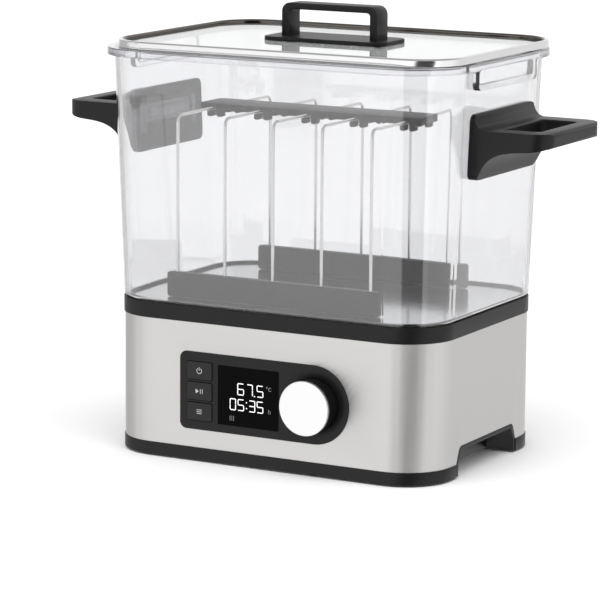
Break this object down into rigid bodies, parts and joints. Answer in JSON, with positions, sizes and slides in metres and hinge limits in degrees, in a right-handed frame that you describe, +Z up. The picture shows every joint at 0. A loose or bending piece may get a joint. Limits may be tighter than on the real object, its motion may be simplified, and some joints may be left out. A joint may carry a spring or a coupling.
{
  "type": "sous vide water bath cooker",
  "caption": "Sous vide water bath cooker: steel heating base with display and knob, lift-off clear tank with side handles, wire pouch rack and glass lid.",
  "frame": {"origin": "centre of the footprint, on the surface that the four feet stand on", "axes": "+X along the long side towards the knob end, +Y to the rear, +Z up; the control panel faces -Y"},
  "size_m": [0.3734, 0.2086, 0.3107],
  "materials": {
    "steel": "fine horizontal brushing, satin",
    "floor_steel": "polished",
    "chrome_rim": "polished",
    "wire": "electropolished wire",
    "screw_steel": "plain",
    "knob_metal": "satin anodised",
    "black_plastic": "fine satin",
    "button_black": "satin gloss",
    "window": "gloss",
    "module": "plain",
    "board": "green solder mask",
    "capacitor": "sleeved can",
    "aluminium": "cast, machined top",
    "sensor": "plain",
    "silicone": "soft matt",
    "clear_silicone": "translucent",
    "leads": "plain",
    "foot_rubber": "matt",
    "clear_tank": "clear, polished",
    "lid_glass": "clear, polished"
  },
  "bodies": {
    "base": {"steel_shell": "steel", "bottom_tray": "black_plastic", "hand_hold_left": "black_plastic", "hand_hold_right": "black_plastic", "foot_front_left": "foot_rubber", "foot_front_right": "foot_rubber", "foot_rear_left": "foot_rubber", "foot_rear_right": "foot_rubber", "top_collar": "black_plastic", "base_screws": "screw_steel", "cord_gland": "black_plastic", "control_panel": "black_plastic", "display_window": "window", "display_module": "module", "control_board": "board", "button_switches": "module", "rotary_encoder": "module", "heating_plate": "aluminium", "heater_gasket": "silicone", "temperature_sensor": "sensor", "heating_element": "screw_steel", "heat_shield": "aluminium", "thermal_fuse": "module", "power_board": "board", "transformer": "module", "relay": "module", "capacitor": "capacitor", "terminal_block": "module", "heater_leads": "leads", "ribbon_cable": "leads"},
    "knob": {"encoder_shaft": "screw_steel", "knob_skirt": "black_plastic", "knob_cap": "knob_metal"},
    "power_key": {"power_button": "button_black"},
    "start_key": {"start_button": "button_black"},
    "menu_key": {"menu_button": "button_black"},
    "tank": {"tank_wall": "clear_tank", "tank_floor": "floor_steel", "floor_gasket": "silicone", "floor_seal": "silicone", "clamp_ring": "black_plastic", "clamp_screws": "screw_steel", "handle_left": "black_plastic", "handle_right": "black_plastic"},
    "rack": {"rack_rail_front": "black_plastic", "rack_rail_rear": "black_plastic", "rack_bar": "black_plastic", "rack_hoop_1": "wire", "rack_hoop_2": "wire", "rack_hoop_3": "wire", "rack_hoop_4": "wire", "rack_hoop_5": "wire"},
    "lid": {"lid_rim": "chrome_rim", "lid_glass": "lid_glass", "lid_seal": "clear_silicone", "lid_handle_plate": "black_plastic", "lid_handle": "black_plastic", "lid_washers": "screw_steel", "lid_screws": "screw_steel"}
  },
  "joints": [
    {"name": "tank_lift", "type": "slide", "parent": "base", "child": "tank", "axis": [0, 0, 1], "range_m": [0, 0.12]},
    {"name": "lid_lift", "type": "slide", "parent": "tank", "child": "lid", "axis": [0, 0, 1], "range_m": [0, 0.12]},
    {"name": "rack_lift", "type": "slide", "parent": "tank", "child": "rack", "axis": [0, 0, 1], "range_m": [0, 0.038]},
    {"name": "knob_turn", "type": "hinge", "parent": "base", "child": "knob", "pos_m": [0.0386, -0.1, 0.0497], "axis": [0, -1, 0], "continuous": true},
    {"name": "power_press", "type": "slide", "parent": "base", "child": "power_key", "axis": [0, 1, 0], "range_m": [0, 0.0008], "stiffness_N_per_m": 1500},
    {"name": "start_press", "type": "slide", "parent": "base", "child": "start_key", "axis": [0, 1, 0], "range_m": [0, 0.0008], "stiffness_N_per_m": 1500},
    {"name": "menu_press", "type": "slide", "parent": "base", "child": "menu_key", "axis": [0, 1, 0], "range_m": [0, 0.0008], "stiffness_N_per_m": 1500}
  ]
}
